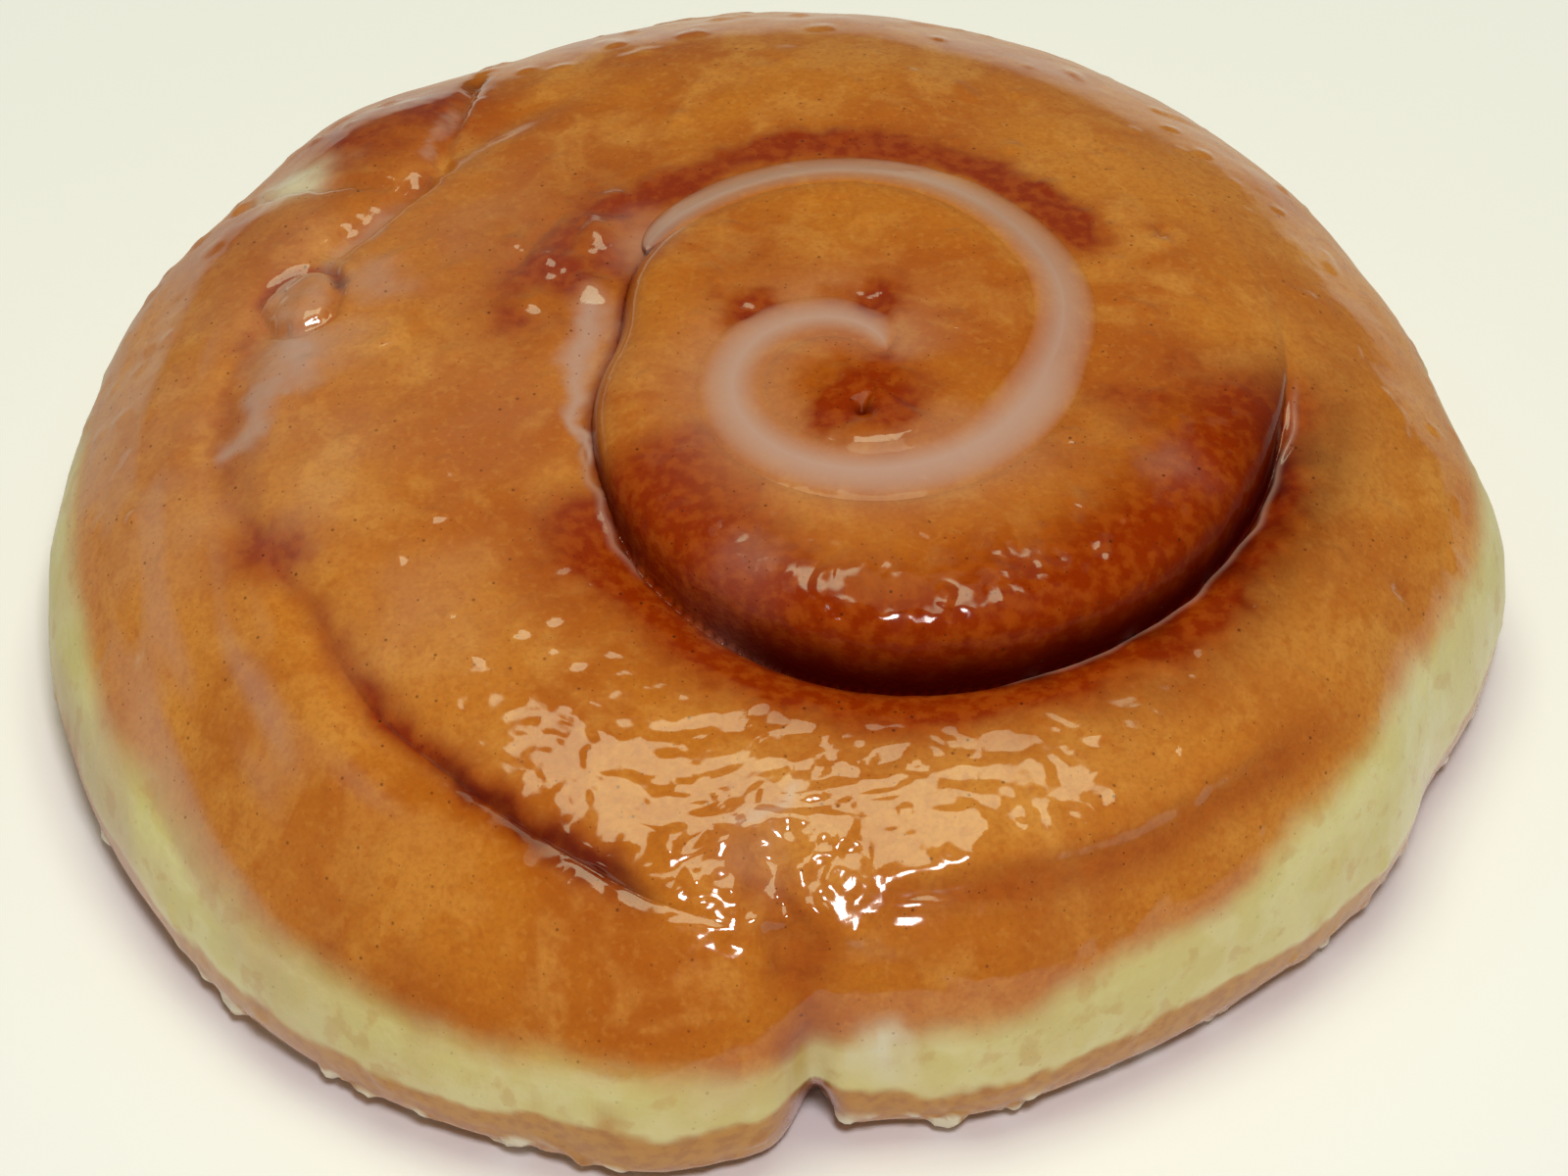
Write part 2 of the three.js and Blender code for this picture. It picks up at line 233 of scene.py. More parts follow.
# Cinnamon stains: x, y, radius and strength, then strokes with a half width and strength.
STAIN_SPOTS = (
    (7.0, -10.0, 22.0, 0.38),
    (7.0, -9.5, 5.3, 1.8),
    (8.0, 3.0, 3.2, 1.6),
    (4.5, 3.5, 2.4, 1.0),
    (-3.0, 1.9, 3.2, 1.5),
    (-18.5, 12.0, 7.2, 1.3),
    (-15.0, 19.5, 5.6, 1.25),
    (-22.0, 6.0, 5.2, 1.0),
    (-36.5, 35.5, 6.5, 1.2),
    (-31.0, 38.0, 5.5, 1.2),
    (-38.5, 27.0, 4.0, 0.8),
    (-47.5, 24.0, 4.5, 0.6),
    (32.0, -9.5, 7.0, 1.2),
    (-3.0, 7.0, 7.5, 0.55),
    (28.0, -13.0, 8.0, 0.7),
    (33.0, -4.0, 5.5, 0.8),
    (33.2, 16.1, 1.1, 0.7),
    (52.8, -17.7, 1.0, 0.6),
    (1.2, -57.5, 3.4, 0.9),
    (-43.2, -18.0, 3.2, 1.8),
    (-38.0, -52.0, 3.0, 0.35),
)
STAIN_STROKES = (
    (1.8, -62.5, -0.5, -54.0, 1.8, 0.8),
    (-29.5, 33.0, -27.5, 43.5, 1.1, 0.7),
    (-31.0, 27.5, -36.0, 21.5, 1.3, 0.5),
    (-45.8, 8.0, -48.0, -5.0, 1.0, 0.7),
    (-45.5, -1.0, -44.5, -14.0, 1.4, 0.55),
    (-42.0, -51.0, -29.0, -58.5, 2.2, 0.65),
)
# Where the crust is painted lighter, partly under a haze of glaze and partly as painted light and
# sheen: x, y, radius and strength.
LIGHT_SPOTS = (
    (14.0, -44.5, 9.0, 0.7),
    (42.0, -28.0, 11.0, 0.5),
    (46.0, -7.0, 8.0, 1.0),
    (46.0, 22.0, 10.0, 0.5),
    (2.0, -47.0, 7.0, 0.5),
    (28.0, -40.0, 8.0, 0.7),
    (-46.0, -10.0, 9.0, 0.6),
    (-50.0, -24.0, 9.0, 0.7),
    (-38.0, -34.0, 8.0, 0.5),
    (-30.0, -33.0, 9.0, 0.4),
    (26.0, -50.0, 8.0, 0.5),
    (44.0, 4.0, 9.0, 0.5),
    (-33.0, 3.0, 9.0, 0.4),
    (30.0, 30.0, 12.0, 0.4),
)
# Painted shade in the dark bottoms of pits: x, y, radius and strength.
DARK_HOLES = (
    (6.9, -11.3, 0.8, 0.85),
    (-38.4, 12.6, 0.8, 0.9),
    (-27.6, 42.9, 1.3, 0.6),
)
# Milky glaze: x, y, radius and strength, then strokes with a half width and strength.
MILK_SPOTS = (
    (-52.0, -12.0, 10.0, 0.24),
    (-53.0, 0.0, 9.0, 0.24),
    (-45.0, 14.0, 12.0, 0.22),
    (-42.0, -8.0, 12.0, 0.20),
    (-28.0, 18.0, 10.0, 0.16),
    (-26.0, -6.0, 11.0, 0.12),
    (-41.8, 3.8, 3.7, 1.1),
    (-37.5, 4.5, 4.5, 0.32),
    (-44.0, 31.0, 3.6, 0.8),
    (-34.2, 12.2, 3.0, 0.7),
    (-2.0, -51.5, 3.0, 0.25),
    (-3.0, -27.5, 3.0, 0.30),
    (-12.0, 14.5, 3.0, 0.5),
    (32.5, -15.0, 2.4, 0.30),
    (-40.0, -15.0, 5.0, 0.25),
    (-30.0, -27.0, 7.0, 0.20),
)
MILK_STROKES = (
    (-3.5, -48.8, 1.0, -46.6, 0.8, 0.6),
    (-34.0, 22.5, -39.0, 16.5, 1.5, 0.5),
    (-31.0, 30.0, -29.0, 37.0, 0.6, 0.4),
    (-43.0, 2.0, -46.0, -5.5, 1.6, 0.8),
)
# Where the glaze has set white: x, y, radius and strength.
WHITE_SPOTS = (
    (-43.2, 30.0, 2.8, 0.8),
    (8.6, -60.0, 1.9, 0.95),
    (6.4, -59.6, 1.2, 0.6),
    (-55.1, -24.4, 0.8, 0.9),
    (-54.2, -23.6, 0.7, 0.9),
    (-51.4, -27.7, 0.7, 0.8),
)

# Discs of the bake map: the middle's u, which is also its v, and the radius.
TOP_DISC = (0.41, 0.40)
UNDER_DISC = (0.83, 0.16)

# The dough's mesh. ROW_SAMPLES is how finely the rows' places are worked out.
COLUMNS = 900
TOP_ROWS = 270
ROW_SAMPLES = 1200
SIDE_ROWS = 36
FOOT_ROWS = 36

# The light from all round, and the floor's colour.
AMBIENT, AMBIENT_STRENGTH = (0.94, 1.0, 0.80, 1), 0.16
FLOOR_COLOUR = (0.97, 0.92, 1.0, 1)

# The camera: degrees above the table, distance, what it looks at, and its lens.
VIEW_HEIGHT = 44.0
VIEW_DISTANCE = 600.0
VIEW_TARGET = (0.3, -9.9, 16.0)
VIEW_LENS = 160.4


# ---------------------------------------------------------------- curves and noise
def spline(values, at):
    """A smooth curve through evenly spaced values."""
    v = np.asarray(values, float)
    last = len(v) - 1
    u = np.clip(at, 0, last - 1e-6)
    i = np.floor(u).astype(int)
    f = u - i
    a, b, c, d = (v[np.clip(i + k, 0, last)] for k in (-1, 0, 1, 2))
    return b + 0.5 * f * (c - a + f * (2 * a - 5 * b + 4 * c - d + f * (3 * (b - c) + d - a)))


def line_value(values, turned):
    return spline(values, turned / LINE_STEP)


def line_radius(turned):
    kinks = sum(amount * bell((turned - at) / width) for at, width, amount in KINKS)
    return line_value(LINE_RADIUS, turned) + kinks


def crown(turned):
    """Height of the strip's top, before the shoulder rounds the roll down."""
    return spline(CROWN, turned / CROWN_STEP)


def line_here(turned):
    """1 where the coil line exists, 0 before its start and after its end."""
    starting = ramp(turned, LINE_START, LINE_START + FULL_DEPTH_AFTER)
    return starting * ramp(turned, LINE_END + RUN_OUT, LINE_END)


def line_open(turned):
    """0 where the two strips beside the line have baked together, 1 elsewhere."""
    begun = ramp(turned, MERGED_FROM - MERGED_FADE_IN, MERGED_FROM)
    return 1 - begun * ramp(turned, MERGED_TO + MERGED_FADE_OUT, MERGED_TO)


def tail_ended(angle):
    """0 beside the line at the front left, 1 past the line's end, where the outer strip has run out."""
    end = LINE_END - 720
    return ramp(angle, end - 4, end + TAIL_RUN_OUT)


def line_floor(turned):
    """Height of the bottom of the coil line, before the shoulder rounds the roll down."""
    outside = np.minimum(crown(turned), crown(turned + 360))
    drop = crown(turned) - outside + np.maximum(line_value(LINE_DEPTH, turned), 0)
    return crown(turned) - drop * line_here(turned)


def bell(away):
    """1 at 0, falling smoothly to about a third at 1 and to nothing beyond 2."""
    return np.exp(-away * away)


def ramp(value, start, end):
    """0 before start, 1 after end, smooth between."""
    t = np.clip((value - start) / (end - start), 0, 1)
    return t * t * (3 - 2 * t)


def turned_from(a, b):
    """The angle from b to a, from -180 to 180 degrees."""
    return (a - b + 180) % 360 - 180


def window(angle, start, end, soft):
    """1 between two angles going anticlockwise, fading out over `soft` degrees beyond each."""
    half = (end - start) % 360.0 / 2
    middle = start + half
    return ramp(np.abs(turned_from(angle, middle)), half + soft, half)


def quarter_round(u):
    u = np.clip(u, 0, 1)
    return np.sqrt(u * (2 - u))


# The noise's own axes, turned so that its cells never line up with the roll's.
NOISE_AXES = np.array([(0.36, 0.48, -0.8), (-0.8, 0.6, 0.0), (0.48, 0.64, 0.6)])


def hashed(ix, iy, iz, seed):
    """A fixed value between -1 and 1 for each cell, which looks random."""
    h = ix * 374761393 + iy * 668265263 + iz * 1440662683 + seed * 974634777
    h = (h ^ (h >> 13)) & 0xFFFFFFFF
    h = (h * 1274126177) & 0xFFFFFFFF
    h = (h ^ (h >> 16)) & 0xFFFFFF
    return h / float(0xFFFFFF) * 2 - 1


def noise(points, size, seed):
    """Smooth random values between -1 and 1, with features about `size` mm wide."""
    p = points @ NOISE_AXES / size
    cell = np.floor(p).astype(np.int64)
    f = p - cell
    f = f * f * f * (f * (f * 6 - 15) + 10)
    total = 0
    for dx in (0, 1):
        for dy in (0, 1):
            for dz in (0, 1):
                value = hashed(cell[..., 0] + dx, cell[..., 1] + dy, cell[..., 2] + dz, seed)
                weight = (
                    (f[..., 0] if dx else 1 - f[..., 0])
                    * (f[..., 1] if dy else 1 - f[..., 1])
                    * (f[..., 2] if dz else 1 - f[..., 2])
                )
                total = total + value * weight
    return total


def layered(points, size, seed, layers=3):
    """Noise with finer and fainter noise over it."""
    total, share = 0, 1.0
    for k in range(layers):
        total = total + share * noise(points, size / 2**k, seed + k)
        share *= 0.5
    return total


# ---------------------------------------------------------------- dough shape
def body(angle):
    """Plan radius of the plain outline, from the middle of the swirl."""
    a = np.radians(angle)
    off_x, off_y = ROUND_MIDDLE[0] - SWIRL[0], ROUND_MIDDLE[1] - SWIRL[1]
    outward = off_x * np.cos(a) + off_y * np.sin(a)
    across = off_y * np.cos(a) - off_x * np.sin(a)
    return outward + np.sqrt(ROUND_RADIUS**2 - across**2)


def swelling(angle):
    return sum(amount * bell(turned_from(angle, at) / width) for at, width, amount in SWELLINGS)


def cleft(angle):
    at, width, depth = CLEFT
    return -depth * bell(turned_from(angle, at) / width)


def fall_inside(radius, turned):
    """How far a strip rounds down to the line outside it, and how far that side leans out."""
    share = np.clip((line_radius(turned) - radius) / line_value(INNER_ROUND, turned), 0, 1)
    fall = (crown(turned) - line_floor(turned)) * (1 - (1 - (1 - share) ** BULGE) ** (1 / BULGE))
    lean = np.maximum(line_value(LEAN, turned), 0) * LEAN_SHAPE * share * (1 - share) ** 2
    return fall, lean


def fall_outside(past_line, height, turned):
    """How far a strip of this height rounds down to the line inside it."""
    share = quarter_round(past_line / line_value(OUTER_ROUND, turned))
    return (height - line_floor(turned)) * (1 - share) * line_here(turned)


def run_together(value, inner, outer, past_line, turned):
    """Where the line has baked away, one slope from the inner strip's height to the outer one's."""
    joined = inner + (outer - inner) * ramp(past_line, -MERGED_WIDTH, MERGED_WIDTH)
    return joined + (value - joined) * line_open(turned)


def inner_strip(radius, angle, strip):
    """Height and lean of one turn of the strip that has the line outside it."""
    turned = angle + 360.0 * strip
    before = turned - 360.0
    height = crown(turned)
    fall, lean = fall_inside(radius, turned)
    value = height - fall
    if strip > 0:
        value = value - fall_outside(radius - line_radius(before), height, before)
    past_line = radius - line_radius(turned)
    value = run_together(value, height, crown(turned + 360), past_line, turned)
    if strip > 1:
        past_line = radius - line_radius(before)
        value = run_together(value, crown(before), height, past_line, before)
    return value, lean


def outer_strip(radius, angle):
    """Height of the strip's last turn, which has no line outside it."""
    before = angle + 360.0 * (TURNS - 1)
    past_line = radius - line_radius(before)
    height = crown(before + 360)
    height = height + (crown(before) - height) * tail_ended(angle)
    value = height - fall_outside(past_line, height, before)
    value = run_together(value, crown(before), height, past_line, before)
    fall = 1 - np.cos(math.pi / 2 * np.clip(past_line / TAIL_REACH, 0, 1))
    return value - TAIL_DROP * fall * window(angle, *TAIL)


def coil_top(radius, angle):
    """Height of the coiled dough before the shoulder rounds it down, and its outward lean."""
    radius, angle = np.broadcast_arrays(radius, angle)
    z = outer_strip(radius, angle)
    lean = np.zeros(radius.shape)
    for strip in reversed(range(TURNS)):
        inside = radius < line_radius(angle + 360.0 * strip)
        value, leaning = inner_strip(radius, angle, strip)
        z = np.where(inside, value, z)
        lean = np.where(inside, leaning, lean)
    valley = bell((radius - line_radius(angle + 720.0)) / VALLEY_WIDTH)
    return z - VALLEY_DEPTH * valley * window(angle, *VALLEY), lean


def shoulder(fraction):
    """The share of the height that is left at this fraction of the way to the rim."""
    return np.sqrt(np.maximum(1 - fraction**SHOULDER, 0))


def groove_level(turned):
    """Height of the bottom of the coil line on the finished roll."""
    return WIDEST + (line_floor(turned) - WIDEST) * shoulder(line_radius(turned) / body(turned))


def row_fractions(angle):
    """Row positions from the middle to the rim, closer together beside each turn of the line."""
    size = body(angle)
    samples = np.linspace(0, 1, ROW_SAMPLES)[:, None]
    density = np.ones((ROW_SAMPLES, len(angle)))
    for k in range(TURNS):
        turned = angle + 360.0 * k
        away = samples * size - line_radius(turned)
        closer = 2.4 * bell(away / 1.5) + 1.2 * bell((away + 3.5) / 5)
        density += line_here(turned) * line_open(turned) * closer
    total = np.cumsum(density, 0)
    total = (total - total[0]) / (total[-1] - total[0])
    wanted = np.linspace(0, 1, TOP_ROWS + 1)[1:]
    columns = [np.interp(wanted, total[:, j], samples[:, 0]) for j in range(len(angle))]
    return np.array(columns).T


def place(radius, angle, z):
    """Points at a radius and angle from the middle of the swirl."""
    a = np.radians(angle)
    x = SWIRL[0] + radius * np.cos(a)
    y = SWIRL[1] + radius * np.sin(a)
    return np.stack(np.broadcast_arrays(x, y, z), -1)


def dough_rings():
    """Rings of points from the middle of the top to the middle of the foot, and their plan data."""
    angle = np.arange(COLUMNS) * 360.0 / COLUMNS
    fraction = row_fractions(angle)
    plain = fraction * body(angle)
    z, lean = coil_top(plain, angle)
    high = CLEFT_SHARE * cleft(angle)
    radius = plain + lean + swelling(angle) * fraction**7 + high * fraction**CLEFT_FADE
    top = place(radius, angle, WIDEST + (z - WIDEST) * shoulder(fraction))

    rim = body(angle) + swelling(angle)
    turn = np.linspace(0, math.pi / 2, SIDE_ROWS + 1)[1:, None]
    notch = high + (cleft(angle) - high) * np.sin(turn)
    side = place(rim + notch - FOOT_ROUND * (1 - np.cos(turn)), angle, WIDEST * (1 - np.sin(turn)))

    inward = np.linspace(1, 0, FOOT_ROWS + 1)[1:-1, None]
    foot = place((rim + cleft(angle) - FOOT_ROUND) * inward, angle, 0.0)
    rings = np.concatenate([top, side, foot])
    plan = np.concatenate([plain, body(angle) + 0 * turn, body(angle) * inward])
    return rings, plan, np.broadcast_to(angle, plan.shape)


def ring_normals(rings):
    round_ring = np.roll(rings, -1, 1) - np.roll(rings, 1, 1)
    across = np.gradient(rings, axis=0)
    normal = np.cross(across, round_ring)
    return normal / np.maximum(np.linalg.norm(normal, axis=-1, keepdims=True), 1e-9)


# ---------------------------------------------------------------- surface detail
def line_distance(plan, angle, turn):
    """Plan distance outward from one turn of the coil line."""
    return plan - line_radius(angle + 360.0 * turn)


def deep_line(plan, angle):
    """Distance outward from the deep line round the inner coil, and the angle turned along it."""
    turned = angle + np.where(angle < DEEP_LINE_FROM, 720.0, 360.0)
    return plan - line_radius(turned), turned


def along(turned, start, end, soft):
    """1 between two angles turned, fading out over `soft` degrees beyond each."""
    return ramp(turned, start - soft, start) * ramp(turned, end + soft, end)


def frayed(points, amount=1.0, size=3.0):
    """The points moved about a little, so that what is laid out with them gets ragged edges."""
    shift = [noise(points, size, k) + 0.5 * noise(points, size / 3, k + 2) for k in (51, 52)]
    return points[..., :2] + amount * np.stack(shift, -1)


def distance(plane, spot):
    """Plan distance from one spot."""
    return np.hypot(plane[..., 0] - spot[0], plane[..., 1] - spot[1])


def spots(plane, places):
    """Soft round spots: x, y, radius and strength of each. The strongest one counts."""
    most = np.zeros(plane.shape[:-1])
    for x, y, radius, strength in places:
        most = np.maximum(most, strength * bell(distance(plane, (x, y)) / radius))
    return most


def strokes(plane, places):
    """Soft straight strokes: the two ends, half width and strength of each."""
    most = np.zeros(plane.shape[:-1])
    for x0, y0, x1, y1, width, strength in places:
        run = np.array([x1 - x0, y1 - y0])
        share = np.clip(((plane - (x0, y0)) @ run) / (run @ run), 0, 1)
        nearest = np.array([x0, y0]) + share[..., None] * run
        away = np.hypot(*np.moveaxis(plane - nearest, -1, 0)) / width
        most = np.maximum(most, strength * bell(away))
    return most


def relief(points, plan, angle):
    """How far the surface stands out of the plain shape."""
    near_line = sum(
        line_here(angle + 360.0 * k) * bell(line_distance(plan, angle, k) / 4.5) for k in range(TURNS)
    )
    calm = 1 - 0.8 * np.clip(near_line, 0, 1)
    uneven = 0.30 * layered(points, 17.0, 11) + 0.035 * layered(points, 2.6, 21)
    pimples = 0.45 * np.maximum(noise(points, 2.1, 41) - 0.45, 0)
    plane = frayed(points, 0.35, 2.0)
    on_top = (
        wrinkled_glaze(points, plan, angle)
        + mound_grain(points, plan, angle)
        + FOLD_RISE * right_fold(plan, angle)
        + THREAD_RISE * threads(plan, angle)
        + spots(plane, BUMPS) - strokes(plane, CREASES) - spots(plane, PITS)
        + Blister(points).rise
        + heart_step(points)
    )
    z = points[..., 2]
    out = calm * (uneven + pimples) + ramp(z, 16.0, 22.0) * on_top + foot_flakes(points)
    return out * ramp(z, 0.2, 3.0)


def wrinkled_glaze(points, plan, angle):
    """The crinkled skin of glaze on the front of the coil, and the messy one over the strip's end."""
    share = ramp(line_distance(plan, angle, 1), 3.0, 7.0) * ramp(plan / body(angle), 0.93, 0.84)
    share = share * bell(turned_from(angle, 268) / 38)
    stretched = points * np.array([0.6, 1.0, 1.0]) + 0.9 * noise(points, 4.0, 5)[..., None]
    folds = 1 - 2 * np.abs(noise(stretched, 2.2, 3))
    fine = 1 - 2 * np.abs(noise(stretched, 1.1, 4))
    messy = bell(distance(points, STRIP_END) / 6.5)
    return share * (0.14 * folds + 0.08 * fine) + 0.32 * messy * noise(points, 1.3, 61)


def mound_grain(points, plan, angle):
    """The rough cinnamon skin on the front of the inner coil and in the heart of the swirl."""
    away, turned = deep_line(plan, angle)
    share = ramp(away, -13, -6) * ramp(away, 0, -2) * along(turned, *MOUND_GRAIN)
    share = share + 1.6 * bell(distance(points, HEART) / 4.0)
    return share * (0.07 * noise(points, 1.6, 71) + 0.05 * noise(points, 0.9, 72))


def right_fold(plan, angle):
    """The low step of glaze along the front right shoulder: 1 just inside it, fading inward."""
    past_fold = fold_distance(plan, angle)
    inside = ramp(past_fold, 0.9, -0.9) * ramp(past_fold, -10.0, -1.0)
    return inside * window(angle, *RIGHT_FOLD)


def fold_distance(plan, angle):
    """Distance outward from the edge of the glaze's fold, which wanders a little."""
    share = 0.842 + 0.022 * ramp(angle, 284, 304) + 0.006 * np.sin(np.radians(angle) * 9)
    return plan - share * body(angle)


def fold_shade(plan, angle):
    """Painted shade: the deeper gold just under the front right fold of glaze."""
    return bell((fold_distance(plan, angle) - 1.2) / 1.6) * window(angle, *FOLD_SHADE)


def threads(plan, angle):
    """Where thin threads of glaze lie along the outside of the deep line."""
    away, turned = deep_line(plan, angle)
    sway = 0.22 * np.sin(np.radians(angle) * 19) + 0.14 * np.sin(np.radians(angle) * 44)
    right = bell((away - 0.7 - sway) / 0.28) * along(turned, *RIGHT_THREAD)
    left = bell((away - 0.8 - sway) / 0.40) * along(turned, *LEFT_THREAD)
    return np.maximum(right, left)


def glaze_streaks(plan, angle):
    """Long thin streaks where the glaze has run and set milky along the left side."""
    unrolled = np.stack([plan, np.radians(angle) * 12.0, 0 * plan], -1)
    share = window(angle, *STREAKS) * ramp(plan / body(angle), 0.74, 0.84)
    return share * ramp(noise(unrolled, 2.4, 84), -0.1, 0.6)


class Blister:
    """The burst blister in the back left seam: its rise, its skin and its dark rim."""

    def __init__(self, points):
        x, y, half_x, half_y = BLISTER
        plane = frayed(points, 0.3, 2.0)
        away = np.hypot((plane[..., 0] - x) / half_x, (plane[..., 1] - y) / half_y)
        dome = np.sqrt(np.maximum(1 - away * away, 0))
        back = ramp(plane[..., 1] - y, -1.0, 2.5)
        self.rise = dome + 0.22 * dome * noise(points, 1.6, 81) - 0.5 * bell((away - 1.12) / 0.14)
        self.skin = np.clip(dome * 1.6, 0, 1)
        self.rim = bell((away - 1.08) / 0.22) * (0.3 + 0.7 * back)


def heart_step(points):
    """The small step down from the heart of the swirl to the icing in front of it."""
    x, y = HEART_MIDDLE
    bearing = np.degrees(np.arctan2(points[..., 1] - y, points[..., 0] - x))
    away = distance(points, HEART_MIDDLE) + 0.3 * noise(points, 3.0, 82)
    return 0.38 * ramp(away, 7.4, 5.6) * window(bearing, *HEART_STEP)


def foot_flakes(points):
    """Ragged flakes of glaze along the edge of the foot."""
    level = bell((points[..., 2] - 2.2) / 1.5)
    ragged = noise(points, 2.4, 91) + 0.4 * noise(points, 0.9, 92)
    return level * 1.3 * np.maximum(ragged - 0.35, 0)


# ---------------------------------------------------------------- colour masks
class DoughMasks:
    """Where the dough is pale, brown, stained, dark, milky or matt, at each point of a surface."""

    def __init__(self, points, plan, angle):
        self.points, self.plan, self.angle = points, plan, angle
        self.z = points[..., 2]
        self.plane = frayed(points)
        self.blister = Blister(points)
        self.away = [line_distance(plan, angle, k) for k in range(TURNS)]
        self.from_deep, self.turned = deep_line(plan, angle)
        self.uneven = 0.8 * self.noise(3.0, 33) + 0.4 * self.noise(1.0, 34)
        self.ragged = self.from_deep + self.uneven
        self.blotchy = 0.75 + 0.35 * self.noise(3.2, 35)
        self.near_seam = self.away[2] + 0.2 + 0.6 * self.noise(2.0, 38)
        self.crack = bell(self.away[1] + 0.3) * window(angle, *CRACK)
        self.toward_rim = ramp(plan / body(angle), 0.78, 0.95)

    def noise(self, size, seed):
        return noise(self.points, size, seed)

    def pale_and_foot(self):
        """The pale band round the side, and the brown foot below it."""
        wobble = layered(self.points, 9.0, 31)
        side_top = spline(PALE_TOP, self.angle / PALE_STEP) + wobble
        pale = ramp(self.z, side_top + 2.5, side_top - 1.5)
        pale = pale * (1 - 0.15 * np.clip(self.noise(6.0, 36), 0, 1))
        fringe = 1.4 * wobble + 0.5 * self.noise(1.4, 32)
        return pale, ramp(self.z, 8.3 + fringe, 7.2 + fringe)

    def mound_stain(self):
        """Dark cinnamon on both sides of the deep line, round the front of the inner coil."""
        reach = 15.0 - 4.0 * bell((self.turned - 640.0) / 30.0)
        face = ramp(self.ragged, -reach, -0.35 * reach) * (self.from_deep < 0.3)
        lip_width = 5.2 - 2.4 * ramp(self.turned, 665, 710)
        lip = bell(np.maximum(self.ragged - 0.4 * lip_width, 0) / lip_width) * (self.from_deep >= 0)
        lip = 1.45 * lip * (0.85 + 0.3 * self.noise(6.0, 45))
        return along(self.turned, *MOUND_STAIN) * np.maximum(face, lip)

    def arc_stain(self):
        """The cinnamon arc behind the inner coil."""
        arc = bell((self.away[1] + self.uneven - 5.0) / 2.3) * window(self.angle, *ARC)
        return 1.4 * arc * (0.95 + 0.3 * self.noise(5.0, 37))

    def seam_stain(self):
        """Cinnamon along the outer seam, at the left and the front left."""
        width = 1.3 + 0.5 * ramp(self.angle, 200, 235)
        seam = bell(self.near_seam / width) * window(self.angle, *SEAM)
        return seam * np.clip(0.9 + 0.5 * self.noise(6.0, 39), 0, 1)

    def stain_and_shade(self, pale):
        """All the cinnamon stains, which show less on the pale band, and the painted shade under the
        front right fold.
        """
        single = np.maximum(spots(self.plane, STAIN_SPOTS), strokes(self.plane, STAIN_STROKES))
        notch = bell(turned_from(self.angle, CLEFT[0]) / CLEFT[1]) * ramp(self.z, 9.0, 5.0)
        return np.maximum.reduce([
            self.mound_stain(),
            self.arc_stain(),
            self.seam_stain(),
            self.crack,
            single * self.blotchy * (1 - 0.85 * pale),
            # Painted shade under the front right fold, laid on with the cinnamon colour.
            0.6 * fold_shade(self.plan, self.angle),
            0.85 * notch,
            1.2 * self.blister.rim,
        ])

    def deep_shade_and_stain(self):
        """Painted shade over dark cinnamon, nearly black: in the groove, darker the lower a point lies,
        and in the seams, the crack and the pits.
        """
        above = self.z - groove_level(self.turned) + 0.5 * self.noise(2.0, 42)
        sides = ramp(above, 8.0, 2.0) * (self.from_deep < 0) + ramp(above, 2.6, 0.6)
        groove = np.clip(sides, 0, 1) * bell(self.from_deep / 6.0) * along(self.turned, *MOUND_SHADE_AND_STAIN)
        seam = bell(self.near_seam / 0.9) * window(self.angle, *DARK_SEAM)
        holes = spots(self.points[..., :2], DARK_HOLES)
        return np.maximum.reduce([groove, 0.65 * seam, 0.5 * self.crack, holes])

    def milk(self):
        """Where the glaze is thick and milky."""
        veil = window(self.angle, *VEIL) * bell(self.away[0] / 5.0)
        taper = 0.5 + 1.3 * ramp(self.angle, 186, 156)
        patch = bell((self.away[1] + self.uneven - 0.6 - taper) / taper) * window(self.angle, *PATCH)
        return np.maximum.reduce([
            spots(self.plane, MILK_SPOTS) * self.blotchy,
            strokes(self.plane, MILK_STROKES),
            0.6 * self.blister.skin * (0.8 + 0.5 * self.noise(2.0, 83)),
            0.38 * threads(self.plan, self.angle),
            0.42 * veil * (1 - np.clip(spots(self.plane, STAIN_SPOTS), 0, 1)),
            0.42 * glaze_streaks(self.plan, self.angle),
            0.85 * patch,
        ])

    def flake(self):
        """White flakes of glaze: along the foot, low on the side and on the top."""
        low = ramp(self.z, 7.0, 11.0) * ramp(self.z, 17.0, 13.0)
        set_white = spots(self.plane, WHITE_SPOTS) * np.maximum(low, ramp(self.z, 20.0, 22.0))
        return np.maximum(foot_flakes(self.points) * 4.0, set_white)

    def dull(self):
        """Where the surface doesn't shine."""
        glints = ramp(self.noise(2.2, 43) + 0.5 * self.noise(0.9, 44), 0.25, 0.5)
        glints = glints * ramp(self.ragged, -2.5, -5.0)
        mound = ramp(self.ragged, -13, -8) * (self.from_deep < 0) * along(self.turned, *MOUND_DULL)
        lip = bell((self.ragged - 2.5) / 4.0) * (self.from_deep > 0) * along(self.turned, *LIP_DULL)
        inner_turn = bell((self.away[0] - 5.5) / 2.2) * window(self.angle, *SWIRL_FRONT)
        seam = bell((self.away[2] - 1.5) / 2.2) * window(self.angle, *SEAM_EDGE)
        return np.maximum.reduce([
            0.92 * mound * (1 - glints),
            0.85 * lip,
            0.9 * inner_turn,
            0.85 * seam,
            0.8 * ramp(self.plan, 6.0, 4.0),
            0.65 * self.toward_rim * window(self.angle, *RIM_DULL),
        ])

    def light(self):
        """Where the crust is lighter: under hazy glaze with painted light and sheen, and painted light
        toward the rim at the right and left.
        """
        right, left = window(self.angle, *RIM_RIGHT), window(self.angle, *RIM_LEFT)
        # Painted light toward the rim at the right and left.
        rim = self.toward_rim * np.maximum(0.7 * right, 0.5 * left)
        return np.maximum(spots(self.plane, LIGHT_SPOTS), rim) * (0.8 + 0.4 * self.noise(5.0, 40))

